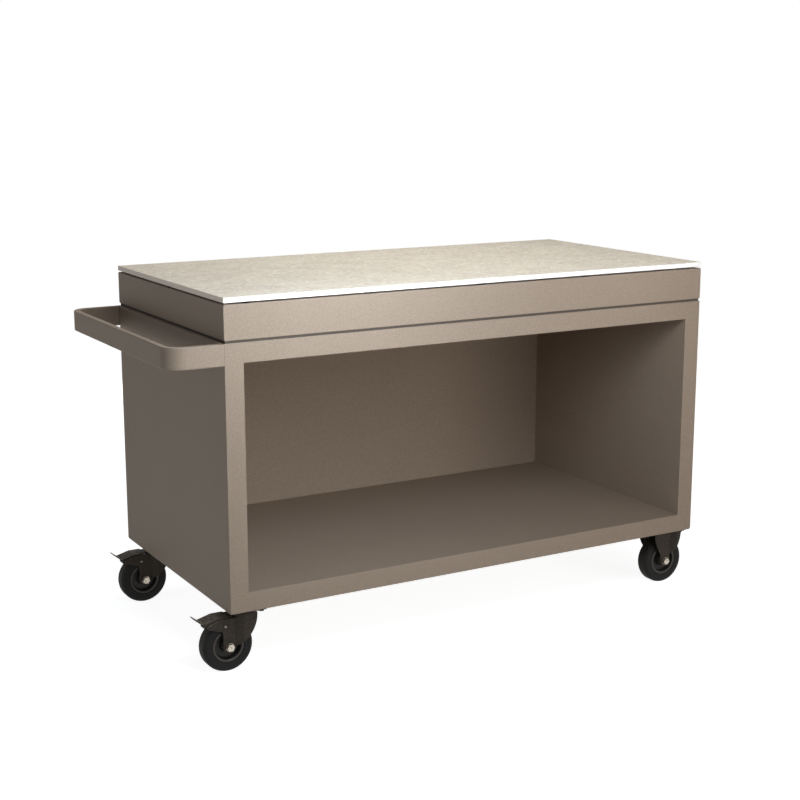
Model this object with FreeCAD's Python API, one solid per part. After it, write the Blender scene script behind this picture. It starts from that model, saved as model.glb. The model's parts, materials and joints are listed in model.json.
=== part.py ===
"""Grill cart with storage: a powder-coated steel cabinet with an open bay, a shallow
upper box under a stone slab, a push handle at the left end and four castors.

Millimetres. X runs along the cart (handle at -X), Y from front to back, Z up.
The origin is on the floor, under the middle of the cart's bounding box.
"""
import FreeCAD, Part
import math
import os
from FreeCAD import Vector

# overall sizes
cabinet_length = 1350.0
cabinet_depth = 680.0
cabinet_height = 624.0
handle_reach = 132.0

# sheet metal of the cabinet
sheet = 1.5
wall = 46.0
frame_return = 30.0
edge_radius = 1.2
bottom_right_radius = 6.0
rear_flange = 30.0
rear_corner_radius = 5.0
back_inset = 2.0
back_field_depth = 8.0
screw_radius = 2.0
screw_head_radius = 4.0
screw_head_height = 1.6
screw_length = 8.0
screws_from_bottom = 60.0
screws_from_ceiling = 40.0
flange_end = 8.0

# inner channels and tubes
rail_sheet = 3.0
rail_margin = 12.0
post_width = 40.0
post_inset = 12.0
tube_wall = 2.0
cross_rail_width = 40.0

# upper box and worktop
shadow_gap = 6.0
shadow_inset = 3.0
shadow_strip_width = 34.0
upper_box_height = 80.0
upper_flange = 30.0
upper_bottom_radius = 5.0
upper_top_radius = 3.0
box_bolt_radius = 3.0
worktop_gap = 4.0
worktop_thickness = 12.0
worktop_edge = 1.0
worktop_corner = 2.5
support_width = 40.0
pad_radius = 11.0
pad_from_end = 60.0

# push handle
handle_height = 50.0
handle_thickness = 15.0
handle_corner = 45.0
handle_wall = 2.0
handle_edge = 2.5
handle_plate = 8.0
handle_flat = 6.0
handle_bar_gap = 0.5
handle_bolt_radius = 2.5
handle_bolt_head = 4.0
handle_bolt_from_face = 7.6
handle_bolt_rise = 13.0
handle_bolt_tab = 4.0

# wheels
wheel_diameter = 125.0
tyre_width = 37.0
tyre_crown_width = 18.0
tyre_shoulder = 10.0
tyre_depth = 22.5
core_ring = 7.0
core_ring_inset = 2.0
core_ring_bulge = 1.2
core_web = 9.0
core_draft = 2.0
core_fillet = 3.0
core_chamfer = 1.5
hub_radius = 16.0
bush_radius = 10.5
sleeve_radius = 7.5
axle_radius = 5.0
washer_radius = 10.0
washer = 1.6

# castors
trail = 42.0
left_castor_inset = 54.0
right_castor_inset = 52.0
castor_inset_y = 64.0
castor_plate_x = 85.0
castor_plate_y = 115.0
castor_plate = 4.0
castor_plate_corner = 8.0
castor_hole_x = 60.0
castor_hole_y = 90.0
castor_hole_radius = 4.5
castor_bolt_radius = 4.0

# castor forks: a sunk band carries the axle, and slanted webs lead out to the rims
fork_sheet = 3.0
fork_edge = 1.2
wheel_clearance = 3.0
leg_clearance = 4.3
hub_clearance = 1.0
rim_offset = 11.0
rim_rise = 10.0
band_half_width = 15.5
swivel_rim_start = 32.0
swivel_rim_end = 66.5
swivel_rim_foot = 73.0
swivel_rim_bow = 6.0
rigid_rim_start = 29.5
rigid_rim_end = 44.0
rigid_rim_foot = 96.0
rigid_rim_bow = 2.5
arm_reach = 54.5
arm_root_drop = 27.5
arm_tip_drop = 20.5
arm_corner = 7.0
arm_nose = 9.0
arm_bulge = 3.8
crown_back = 12.0
crown_margin = 4.5
crown_trim = 2.0

# swivel bearing
race_stack = 20.0
lower_race = 9.5
race_gap = 3.0
race_pitch = 23.0
race_half_width = 5.5
ball_radius = 3.2
ball_count = 16
kingpin_radius = 6.0

# brake pedal, its distances measured back from the wheel's axle
pivot_drop = 13.7
pivot_back = 9.7
pivot_radius = 3.5
cheek_sheet = 2.0
cheek_clearance = 0.9
cheek_front = 16.0
cheek_margin = 3.0
cheek_toe = 12.0
cheek_heel = 45.0
cover_rise = 3.7
cover_reach = 2.0
pedal_bend = 28.0
pedal_knee = 61.5
pedal_tip = 81.6
pedal_fall = 9.1
pedal_bend_radius = 5.0
lip_rise = 15.6
pedal_corner = 14.0
rib_radius = 2.4
rib_height = 0.9
rib_half_length = 13.0
rib_first = 35.0
rib_last = 53.0
shoe_gap = 8.0
shoe_width = 28.0
shoe_front = 33.0
shoe_back = 55.0
shoe_drop = 3.0
spring_leaf = 1.0
spring_width = 12.0
spring_toe = 8.0
spring_sag = 1.4
spring_foot = 3.0

# fits
running_fit = 0.05
bolt_fit = 0.05
clear_fit = 0.3

# how far a cutter reaches past a face, and how far two fused shapes share material
over = 1.0
lap = 0.1

# hexagon bolts and nuts, as shares of the thread's radius
flats_share = 3.2
head_share = 1.28
nut_share = 1.6
thread_end = 2.0

# wheel and castor, worked out
wheel_radius = wheel_diameter / 2
core_radius = wheel_radius - tyre_depth
core_ring_inner = core_radius - core_ring
band_inner = tyre_width / 2 + leg_clearance
band_outer = band_inner + fork_sheet
rim_inner = band_inner + rim_offset
rim_outer = rim_inner + fork_sheet
hub_width = 2 * (band_inner - hub_clearance)
crown_z = wheel_diameter + wheel_clearance
crown_top = crown_z + fork_sheet
rim_top = crown_top + rim_rise
race_z = crown_top + lower_race + race_gap / 2
plate_z = crown_top + race_stack
castor_height = plate_z + castor_plate

# how far the middle of a quarter circle lies inside its corner, as a share of its radius
arc_inset = 1 - math.sqrt(0.5)

# levels above the floor
base_z = castor_height
floor_z = base_z + wall
top_z = base_z + cabinet_height
ceiling_z = top_z - wall
box_z = top_z + shadow_gap
box_top_z = box_z + upper_box_height
slab_z = box_top_z + worktop_gap
cart_height = slab_z + worktop_thickness

# faces of the cabinet; the right wheels stand out a little past its right side
wheel_overhang = max(0.0, wheel_radius - right_castor_inset)
left = (handle_reach - cabinet_length - wheel_overhang) / 2
right = left + cabinet_length
front = -cabinet_depth / 2
back = cabinet_depth / 2
panel_back = back - back_inset
panel_face = panel_back - sheet
field_face = panel_back - back_field_depth

# places of castors, rails and cross members
left_castor_x = left + left_castor_inset
right_castor_x = right - right_castor_inset
front_castor_y = front + castor_inset_y
back_castor_y = back - castor_inset_y
rail_half = castor_hole_y / 2 + rail_margin
cross_places = (left + cabinet_length / 3, right - cabinet_length / 3)

# the pedal's pivot and levels, seen from the swivel axis
axle_x = -trail
pivot_x = axle_x - pivot_back
pivot_z = crown_z - pivot_drop
cover_top = crown_top + cover_rise
cover_slope = pedal_fall / (pedal_knee - pedal_bend)
pedal_half = band_inner - cheek_clearance
spring_root = shoe_front - clear_fit


def box(x0, x1, y0, y1, z0, z1):
    """A box between two corners."""
    return Part.makeBox(x1 - x0, y1 - y0, z1 - z0, Vector(x0, y0, z0))


def disc(x, y, z0, z1, radius):
    """An upright cylinder."""
    return Part.makeCylinder(radius, z1 - z0, Vector(x, y, z0))


def barrel(x, z, y0, y1, radius):
    """A cylinder that lies along Y."""
    return Part.makeCylinder(radius, y1 - y0, Vector(x, y0, z), Vector(0, 1, 0))


def rod(y, z, x0, x1, radius):
    """A cylinder that lies along X."""
    return Part.makeCylinder(radius, x1 - x0, Vector(x0, y, z), Vector(1, 0, 0))


def outline(steps, place):
    """A flat face. Each step is a point, or a pair of points that an arc passes and reaches."""
    edges = []
    start = place(*steps[0])
    for step in steps[1:]:
        if isinstance(step[0], tuple):
            middle, end = place(*step[0]), place(*step[1])
            edges.append(Part.Arc(start, middle, end).toShape())
        else:
            end = place(*step)
            edges.append(Part.LineSegment(start, end).toShape())
        start = end
    first = place(*steps[0])
    if start.distanceToPoint(first) > 1e-6:
        edges.append(Part.LineSegment(start, first).toShape())
    return Part.Face(Part.Wire(edges))


def side_plate(steps, y0, y1):
    """An outline in X and Z, from y0 to y1."""
    face = outline(steps, lambda x, z: Vector(x, y0, z))
    return face.extrude(Vector(0, y1 - y0, 0))


def flat_plate(steps, z0, z1):
    """An outline in X and Y, from z0 to z1."""
    face = outline(steps, lambda x, y: Vector(x, y, z0))
    return face.extrude(Vector(0, 0, z1 - z0))


def hexagon(radius, z0, z1):
    """An upright hexagonal prism for a thread of this radius."""
    corner = radius * flats_share / math.sqrt(3)
    steps = []
    for turn in range(6):
        angle = math.radians(60 * turn)
        steps.append((corner * math.cos(angle), corner * math.sin(angle)))
    return flat_plate(steps, z0, z1)


def mirrored_y(shape):
    """The shape with its mirror image in the plane y = 0."""
    return [shape, shape.mirror(Vector(0, 0, 0), Vector(0, 1, 0))]


def fused(shapes):
    """One solid from touching shapes."""
    joined = shapes[0].fuse(shapes[1:])
    return joined.removeSplitter()


def moved(shape, x, y, z=0.0):
    """A copy that is moved."""
    copy = shape.copy()
    copy.translate(Vector(x, y, z))
    return copy


def edges_in_plane(shape, axis, value):
    """The edges that lie in a plane across an axis."""
    found = []
    for edge in shape.Edges:
        bounds = edge.BoundBox
        low = getattr(bounds, axis + "Min")
        high = getattr(bounds, axis + "Max")
        if abs(low - value) < 1e-3 and abs(high - value) < 1e-3:
            found.append(edge)
    return found


def long_edges(shape, axis, corners):
    """The straight edges along an axis that pass through the given corners."""
    others = [name for name in "XYZ" if name != axis]
    found = []
    for edge in shape.Edges:
        bounds = edge.BoundBox
        for corner in corners:
            fits = True
            for name, value in zip(others, corner):
                low = getattr(bounds, name + "Min")
                high = getattr(bounds, name + "Max")
                fits = fits and abs(low - value) < 1e-3 and abs(high - value) < 1e-3
            if fits:
                found.append(edge)
    return found


def frame_profile(inset):
    """The cabinet's front view, drawn in by an inset; its bottom right corner is rounded."""
    radius = bottom_right_radius - inset
    x0, x1 = left + inset, right - inset
    z0, z1 = base_z + inset, top_z - inset
    bend = radius * arc_inset
    return [(x0, z0), (x1 - radius, z0), ((x1 - bend, z0 + bend), (x1, z0 + radius)), (x1, z1), (x0, z1)]


def bay(grow, y0, y1):
    """The open bay as a block, grown on its four sides."""
    return box(left + wall - grow, right - wall + grow, y0, y1, floor_z - grow, ceiling_z + grow)


def along(start, end, count):
    """Evenly spaced values, both ends included."""
    step = (end - start) / (count - 1)
    return [start + step * index for index in range(count)]


def box_bolt_places():
    """Where the upper box is bolted down through the shadow gap."""
    middle = shadow_inset + shadow_strip_width / 2
    end = cabinet_length / 12
    places = []
    for x in along(left + end, right - end, 6):
        places.append((x, front + middle))
        places.append((x, back - middle))
    for y in along(-cabinet_depth / 4, cabinet_depth / 4, 3):
        places.append((left + middle, y))
        places.append((right - middle, y))
    return places


def bolt_holes(radius, z0, z1):
    """Cutters for the upper box bolts."""
    return [disc(x, y, z0, z1, radius) for x, y in box_bolt_places()]


def handle_bolt_places():
    """Heights and depths of the handle's bolts."""
    places = []
    for y in (front + handle_bolt_from_face, back - handle_bolt_from_face):
        for z in (top_z - handle_height + handle_bolt_rise, top_z - handle_bolt_rise):
            places.append((y, z))
    return places


def handle_holes(radius, x0, x1):
    """Cutters for the handle's bolts."""
    return [rod(y, z, x0, x1, radius) for y, z in handle_bolt_places()]


def castor_places():
    """The four castor plates."""
    return [(x, y) for x in (left_castor_x, right_castor_x) for y in (front_castor_y, back_castor_y)]


def plate_holes(radius, z0, z1, x=0.0, y=0.0):
    """Cutters for the four holes of one castor plate."""
    holes = []
    for side_x in (-castor_hole_x / 2, castor_hole_x / 2):
        for side_y in (-castor_hole_y / 2, castor_hole_y / 2):
            holes.append(disc(x + side_x, y + side_y, z0, z1, radius))
    return holes


def all_plate_holes(radius, z0, z1):
    """Cutters for the holes of all four castor plates."""
    holes = []
    for x, y in castor_places():
        holes += plate_holes(radius, z0, z1, x, y)
    return holes


def front_frame():
    """Folded ring round the open bay, hollow and open to the back."""
    ring = side_plate(frame_profile(0.0), front, front + frame_return)
    corners = [(left, base_z), (left, top_z), (right, top_z)]
    ring = ring.makeFillet(edge_radius, long_edges(ring, "Y", corners))
    ring = ring.cut(bay(0.0, front - over, front + frame_return + over))
    ring = ring.makeFillet(edge_radius, edges_in_plane(ring, "Y", front))
    hollow = side_plate(frame_profile(sheet), front + sheet, front + frame_return + over)
    hollow = hollow.cut(bay(sheet, front, front + frame_return + 2 * over))
    ring = ring.cut(hollow)
    holes = bolt_holes(box_bolt_radius + clear_fit, top_z - 2 * sheet, top_z + over)
    holes += handle_holes(handle_bolt_radius + clear_fit, left - over, left + 2 * sheet)
    holes += all_plate_holes(castor_hole_radius, base_z - over, base_z + 2 * sheet)
    return ring.cut(holes)


def rear_flange_strip(x0, x1, z1):
    """The flange of a side skin that the back panel is screwed to."""
    return box(x0, x1, panel_face - sheet, panel_face, base_z + sheet, z1)


def left_side_skin():
    """Outer sheet of the left wall, with its rear flange."""
    skin = box(left, left + sheet, front + frame_return, back, base_z, top_z)
    skin = skin.makeFillet(rear_corner_radius, long_edges(skin, "X", [(back, base_z)]))
    skin = skin.makeFillet(edge_radius, long_edges(skin, "Y", [(left, base_z), (left, top_z)]))
    flange = rear_flange_strip(left + sheet / 2, left + rear_flange, ceiling_z - flange_end)
    skin = fused([skin, flange])
    return skin.cut(handle_holes(handle_bolt_radius + clear_fit, left - over, left + 2 * sheet) + screw_holes())


def right_side_skin():
    """Outer sheet of the right wall, folded round at its bottom edge, with its rear flange."""
    profile = side_plate(frame_profile(0.0), front + frame_return, back)
    inner = side_plate(frame_profile(sheet), front, back + over)
    skin = profile.cut(inner)
    skin = skin.common(box(right - bottom_right_radius, right, front, back, base_z, top_z))
    top = box(right - bottom_right_radius, right - sheet, front, back, top_z - sheet, top_z)
    skin = skin.cut(top)
    skin = skin.makeFillet(edge_radius, long_edges(skin, "Y", [(right, top_z)]))
    flange = rear_flange_strip(right - rear_flange, right - sheet / 2, top_z - sheet)
    flange = flange.common(box(left, right, front, back, base_z + bottom_right_radius, top_z))
    return fused([skin, flange]).cut(screw_holes())


def left_liner():
    """Inner sheet of the left wall."""
    return box(left + wall - sheet, left + wall, front + frame_return, field_face, floor_z - sheet, ceiling_z + sheet)


def right_liner():
    """Inner sheet of the right wall."""
    return box(right - wall, right - wall + sheet, front + frame_return, field_face, floor_z - sheet, ceiling_z + sheet)


def storage_floor():
    """The bay's floor."""
    return box(left + wall, right - wall, front + frame_return, field_face, floor_z - sheet, floor_z)


def storage_ceiling():
    """The bay's ceiling."""
    return box(left + wall, right - wall, front + frame_return, field_face, ceiling_z, ceiling_z + sheet)


def underside_panel():
    """Sheet under the cabinet, drilled for the castors."""
    panel = box(left + sheet, right - bottom_right_radius, front + frame_return, panel_face, base_z, base_z + sheet)
    return panel.cut(all_plate_holes(castor_hole_radius, base_z - over, base_z + 2 * sheet))


def cabinet_top_panel():
    """Sheet over the cabinet, under the shadow gap."""
    panel = box(left + sheet, right - sheet, front + frame_return, panel_face, top_z - sheet, top_z)
    return panel.cut(bolt_holes(box_bolt_radius + clear_fit, top_z - 2 * sheet, top_z + over))


def screw_places():
    """Places of the back panel's screws."""
    middle = (sheet + rear_flange) / 2
    places = []
    for z in along(base_z + screws_from_bottom, ceiling_z - screws_from_ceiling, 4):
        places.append((left + middle, z))
        places.append((right - middle, z))
    return places


def screw_holes():
    """Cutters for the back panel's screws."""
    return [barrel(x, z, panel_face - 2 * sheet, back, screw_radius + bolt_fit) for x, z in screw_places()]


def back_panel():
    """Back sheet with a field that is pressed forwards, against the back edges of the bay's sheets."""
    rim = box(left + sheet, right - sheet, panel_face, panel_back, base_z + sheet, top_z - sheet)
    corner = bottom_right_radius
    rim = rim.cut(box(right - corner, right, front, back, base_z, base_z + corner))
    block = bay(sheet, field_face, panel_back)
    hollow = bay(0.0, field_face + sheet, panel_back + over)
    return fused([rim, block]).cut([hollow] + screw_holes())


def back_screws():
    """Low-headed screws that hold the back panel to the side skins."""
    screws = []
    for x, z in screw_places():
        head = barrel(x, z, panel_back, panel_back + screw_head_height, screw_head_radius)
        shank = barrel(x, z, panel_back - screw_length, panel_back + lap, screw_radius)
        screws.append(fused([head, shank]))
    return screws


def castor_rail(y):
    """Channel along the cart that carries two castors, open at the top."""
    x0, x1 = left + sheet, right - bottom_right_radius
    y0, y1 = y - rail_half, y + rail_half
    z0, z1 = base_z + sheet, floor_z - sheet
    rail = box(x0, x1, y0, y1, z0, z1)
    trough = box(x0 - over, x1 + over, y0 + rail_sheet, y1 - rail_sheet, z0 + rail_sheet, z1 + over)
    return rail.cut([trough] + all_plate_holes(castor_hole_radius, z0 - over, z0 + rail_sheet + over))


def castor_rails():
    """The front and the back castor rail."""
    return [castor_rail(front_castor_y), castor_rail(back_castor_y)]


def square_tube(x0, x1, y0, y1, z0, z1, axis):
    """A rectangular tube with open ends along an axis."""
    bounds = {"X": [x0, x1], "Y": [y0, y1], "Z": [z0, z1]}
    for name in bounds:
        grow = over if name == axis else -tube_wall
        bounds[name] = [bounds[name][0] - grow, bounds[name][1] + grow]
    bore = box(*bounds["X"], *bounds["Y"], *bounds["Z"])
    return box(x0, x1, y0, y1, z0, z1).cut(bore)


def floor_cross_rails():
    """Two tubes between the castor rails, under the storage floor."""
    rails = []
    y0, y1 = front_castor_y + rail_half, back_castor_y - rail_half
    z0, z1 = base_z + sheet, floor_z - sheet
    for x in cross_places:
        rails.append(square_tube(x - cross_rail_width / 2, x + cross_rail_width / 2, y0, y1, z0, z1, "Y"))
    return rails


def handle_tab(y0, y1):
    """Plate on a left post that the handle's bolts bear on."""
    return box(left + sheet, left + sheet + handle_bolt_tab, y0, y1, ceiling_z + sheet, top_z - sheet)


def tube_frame():
    """Four corner posts inside the walls and two top rails between them."""
    z0, z1 = floor_z - sheet, top_z - sheet
    post_front = front + post_inset
    post_back = back - post_inset - post_width
    tabs = [handle_tab(front + sheet, post_front), handle_tab(post_back + post_width, panel_face)]
    holes = handle_holes(handle_bolt_radius + clear_fit, left, left + wall / 2)
    solids = []
    for y, tab in zip((post_front, post_back), tabs):
        post = square_tube(left + sheet, left + wall - sheet, y, y + post_width, z0, z1, "Z")
        solids.append(fused([post, tab]).cut(holes))
        solids.append(square_tube(right - wall + sheet, right - sheet, y, y + post_width, z0, z1, "Z"))
    x0, x1 = left + wall - sheet, right - wall + sheet
    for y0 in (front + frame_return, back - frame_return - post_width):
        solids.append(square_tube(x0, x1, y0, y0 + post_width, ceiling_z + sheet, z1, "X"))
    return solids


def upper_box_block(inset):
    """The upper box as a block, drawn in by an inset, with its bent edges rounded."""
    x0, x1 = left + inset, right - inset
    y0, y1 = front + inset, back - inset
    z0, z1 = box_z + inset, box_top_z - inset
    block = box(x0, x1, y0, y1, z0, z1)
    if upper_bottom_radius > inset:
        block = block.makeFillet(upper_bottom_radius - inset, long_edges(block, "X", [(y1, z0)]))
    if upper_top_radius > inset:
        block = block.makeFillet(upper_top_radius - inset, long_edges(block, "Y", [(x0, z1), (x1, z1)]))
        block = block.makeFillet(upper_top_radius - inset, long_edges(block, "X", [(y1, z1)]))
    if edge_radius > inset:
        block = block.makeFillet(edge_radius, edges_in_plane(block, "Y", y0))
    return block


def upper_rail(mitre):
    """One side of the upper box: its face with two flanges, mitred at both ends."""
    shell = upper_box_block(0.0).cut(upper_box_block(sheet))
    shell = shell.cut(box(left + upper_flange, right - upper_flange, front + upper_flange, back - upper_flange,
                          box_z - over, box_top_z + over))
    rail = shell.common(flat_plate(mitre, box_z - over, box_top_z + over))
    return rail.cut(bolt_holes(box_bolt_radius + clear_fit, box_z - over, box_z + 2 * sheet))


def long_mitre(face, inwards):
    """The plan of a front or back rail; inwards is 1 or -1 along Y."""
    outer, inner = face - inwards, face + inwards * upper_flange
    return [(left - over, outer), (right + over, outer), (right - upper_flange, inner), (left + upper_flange, inner)]


def short_mitre(face, inwards):
    """The plan of a left or right rail; inwards is 1 or -1 along X."""
    outer, inner = face - inwards, face + inwards * upper_flange
    return [(outer, front - over), (outer, back + over), (inner, back - upper_flange), (inner, front + upper_flange)]


def upper_front_rail():
    """Front rail of the upper box."""
    return upper_rail(long_mitre(front, 1))


def upper_back_rail():
    """Back rail of the upper box."""
    return upper_rail(long_mitre(back, -1))


def upper_left_rail():
    """Left rail of the upper box."""
    return upper_rail(short_mitre(left, 1))


def upper_right_rail():
    """Right rail of the upper box."""
    return upper_rail(short_mitre(right, -1))


def shadow_gap_strips():
    """Set-back bars between the cabinet and the upper box."""
    near, far = shadow_inset, shadow_inset + shadow_strip_width
    strips = [
        box(left + near, right - near, front + near, front + far, top_z, box_z),
        box(left + near, right - near, back - far, back - near, top_z, box_z),
        box(left + near, left + far, front + far, back - far, top_z, box_z),
        box(right - far, right - near, front + far, back - far, top_z, box_z),
    ]
    holes = bolt_holes(box_bolt_radius + clear_fit, top_z - over, box_z + over)
    return [strip.cut(holes) for strip in strips]


def bolt(radius, seat_z, tip_z):
    """A hexagon bolt that hangs from its head's seat down to its tip."""
    shank = disc(0, 0, tip_z, seat_z + lap, radius)
    return fused([hexagon(radius, seat_z, seat_z + head_share * radius), shank])


def nut(radius, z0):
    """A hexagon nut that stands on z0."""
    z1 = z0 + nut_share * radius
    return hexagon(radius, z0, z1).cut(disc(0, 0, z0 - over, z1 + over, radius + bolt_fit))


def upper_box_bolts():
    """Bolts with nuts through the shadow gap."""
    solids = []
    for x, y in box_bolt_places():
        nut_z = top_z - sheet - nut_share * box_bolt_radius
        solids.append(moved(bolt(box_bolt_radius, box_z + sheet, nut_z - thread_end), x, y))
        solids.append(moved(nut(box_bolt_radius, nut_z), x, y))
    return solids


def worktop_supports():
    """Two channels across the upper box, open downwards."""
    supports = []
    y0, y1 = front + sheet, back - upper_bottom_radius
    z0, z1 = box_z + sheet, box_top_z - sheet
    for x in cross_places:
        x0, x1 = x - support_width / 2, x + support_width / 2
        support = box(x0, x1, y0, y1, z0, z1)
        trough = box(x0 + tube_wall, x1 - tube_wall, y0 - over, y1 + over, z0 - over, z1 - tube_wall)
        supports.append(support.cut(trough))
    return supports


def slab_pads():
    """Soft discs that carry the slab."""
    edge = upper_flange / 2
    pads = []
    for x in along(left + pad_from_end, right - pad_from_end, 5):
        for y in (front + edge, back - edge):
            pads.append(disc(x, y, box_top_z, slab_z, pad_radius))
    for x in (left + edge, right - edge):
        pads.append(disc(x, 0, box_top_z, slab_z, pad_radius))
    for x in cross_places:
        for y in (-cabinet_depth / 4, cabinet_depth / 4):
            pads.append(disc(x, y, box_top_z - sheet, slab_z, pad_radius))
    return pads


def worktop_slab():
    """Stone slab with eased edges."""
    slab = box(left, right, front, back, slab_z, cart_height)
    corners = [(x, y) for x in (left, right) for y in (front, back)]
    slab = slab.makeFillet(worktop_corner, long_edges(slab, "Z", corners))
    rims = edges_in_plane(slab, "Z", slab_z) + edges_in_plane(slab, "Z", cart_height)
    return slab.makeFillet(worktop_edge, rims)


def handle_loop(inset, z0, z1):
    """The handle's bent bar, seen from above, drawn in by an inset."""
    outer_x = left - handle_reach + inset
    inner_x = left - handle_reach + handle_thickness - inset
    outer_y = cabinet_depth / 2 - inset
    inner_y = cabinet_depth / 2 - handle_thickness + inset
    outer_r = handle_corner - inset
    inner_r = handle_corner - handle_thickness + inset
    near = math.sqrt(0.5)
    middle_x = left - handle_reach + handle_corner
    middle_y = cabinet_depth / 2 - handle_corner
    end_x = left + (0.0 if inset == 0 else over)
    steps = [
        (end_x, -outer_y),
        (middle_x, -outer_y),
        ((middle_x - outer_r * near, -middle_y - outer_r * near), (outer_x, -middle_y)),
        (outer_x, middle_y),
        ((middle_x - outer_r * near, middle_y + outer_r * near), (middle_x, outer_y)),
        (end_x, outer_y),
        (end_x, inner_y),
        (middle_x, inner_y),
        ((middle_x - inner_r * near, middle_y + inner_r * near), (inner_x, middle_y)),
        (inner_x, -middle_y),
        ((middle_x - inner_r * near, -middle_y - inner_r * near), (middle_x, -inner_y)),
        (end_x, -inner_y),
    ]
    return flat_plate(steps, z0, z1)


def handle_bar():
    """Bent flat tube with a plate welded into each end."""
    z0, z1 = top_z - handle_height, top_z
    bar = handle_loop(0.0, z0, z1)
    rims = [edge for edge in edges_in_plane(bar, "Z", z0) + edges_in_plane(bar, "Z", z1) if not at_wall(edge)]
    bar = bar.makeFillet(handle_edge, rims)
    hollow = handle_loop(handle_wall, z0 + handle_wall, z1 - handle_wall)
    hollow = hollow.cut(box(left - handle_plate, left + 2 * over, front, back, z0, z1))
    bar = bar.cut(hollow)
    return bar.cut(handle_holes(handle_bolt_radius + bolt_fit, left - handle_plate - over, left + over))


def at_wall(edge):
    """Whether an edge lies where the handle meets the cabinet."""
    return edge.BoundBox.XMin > left - 1e-3


def handle_wall_bar():
    """Flat bar against the cabinet's left side, between the arms of the handle."""
    reach = cabinet_depth / 2 - handle_thickness - handle_bar_gap
    bar = box(left - handle_flat, left, -reach, reach, top_z - handle_height, top_z)
    outer_x = left - handle_flat
    return bar.makeFillet(handle_edge, [edge for edge in bar.Edges if edge.BoundBox.XMax < outer_x + 1e-3])


def handle_bolts():
    """Cap screws from inside the wall into the handle's end plates."""
    seat = left + sheet + handle_bolt_tab
    solids = []
    for y, z in handle_bolt_places():
        head = rod(y, z, seat, seat + 2 * handle_bolt_radius, handle_bolt_head)
        socket = rod(y, z, seat + handle_bolt_radius, seat + 3 * handle_bolt_radius, handle_bolt_head / 2)
        shank = rod(y, z, left - handle_plate - thread_end, seat + lap, handle_bolt_radius)
        solids.append(fused([head, shank]).cut(socket))
    return solids


def castor_bolts():
    """Bolts from below through the castor plates, with nuts inside the castor rails."""
    solids = []
    nut_z = base_z + sheet + rail_sheet
    length = nut_z - plate_z + nut_share * castor_bolt_radius + thread_end
    upright = bolt(castor_bolt_radius, 0.0, -length)
    upright.rotate(Vector(0, 0, 0), Vector(1, 0, 0), 180)
    for place_x, place_y in castor_places():
        for side_x in (-castor_hole_x / 2, castor_hole_x / 2):
            for side_y in (-castor_hole_y / 2, castor_hole_y / 2):
                x, y = place_x + side_x, place_y + side_y
                solids.append(moved(upright, x, y, plate_z))
                solids.append(moved(nut(castor_bolt_radius, nut_z), x, y))
    return solids


def castor_top_plate():
    """Drilled plate with rounded corners, centred on the castor."""
    half_x, half_y = castor_plate_x / 2, castor_plate_y / 2
    plate = box(-half_x, half_x, -half_y, half_y, plate_z, castor_height)
    corners = [(x, y) for x in (-half_x, half_x) for y in (-half_y, half_y)]
    plate = plate.makeFillet(castor_plate_corner, long_edges(plate, "Z", corners))
    return plate.cut(plate_holes(castor_hole_radius, plate_z - over, castor_height + over))


def race_ring(z0, z1):
    """Half of the swivel bearing, a ring with its ball groove cut."""
    ring = disc(0, 0, z0, z1, race_pitch + race_half_width)
    ring = ring.cut(disc(0, 0, z0 - over, z1 + over, race_pitch - race_half_width))
    groove = Part.makeTorus(race_pitch, ball_radius + running_fit, Vector(0, 0, race_z))
    return ring.cut(groove)


def swivel_plate():
    """Top plate of a swivel castor with the upper race under it."""
    plate = castor_top_plate()
    ring = race_ring(race_z + race_gap / 2, plate_z)
    plate = fused([plate, ring])
    return plate.cut(disc(0, 0, plate_z - over, castor_height + over, kingpin_radius + bolt_fit))


def race_balls():
    """Ring of bearing balls."""
    balls = []
    for index in range(ball_count):
        angle = math.radians(360.0 * index / ball_count)
        centre = Vector(race_pitch * math.cos(angle), race_pitch * math.sin(angle), race_z)
        balls.append(Part.makeSphere(ball_radius, centre))
    return balls


def kingpin():
    """Pin of a swivel castor, with its nut under the crown."""
    nut_z = crown_z - clear_fit - nut_share * kingpin_radius
    pin = disc(0, 0, nut_z, castor_height, kingpin_radius)
    return [pin, nut(kingpin_radius, nut_z)]


def cross_hole(x, z, radius):
    """Cutter through both legs of a fork."""
    return barrel(x, z, -2 * rim_outer, 2 * rim_outer, radius)


def soft_edges(plate, y, joined_x, joined_z):
    """Rounds the outline of the plate's face at y, but for the straight edges that join other walls."""
    free = []
    for edge in edges_in_plane(plate, "Y", y):
        bounds = edge.BoundBox
        at_x = abs(bounds.XMin - joined_x) < 1e-3 and abs(bounds.XMax - joined_x) < 1e-3
        at_z = abs(bounds.ZMin - joined_z) < 1e-3 and abs(bounds.ZMax - joined_z) < 1e-3
        if not at_x and not at_z:
            free.append(edge)
    return plate.makeFillet(fork_edge, free)


def web_plate(band_x, rim_x, side_steps):
    """Slanted wall of a leg, from the sunk band out to the rim, cut to its side outline."""
    steps = [(band_x, -band_inner), (band_x, -band_outer), (rim_x, -rim_outer), (rim_x, -rim_inner)]
    slant = flat_plate(steps, 0, castor_height)
    return slant.common(side_plate(side_steps, -rim_outer - over, 0))


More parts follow.
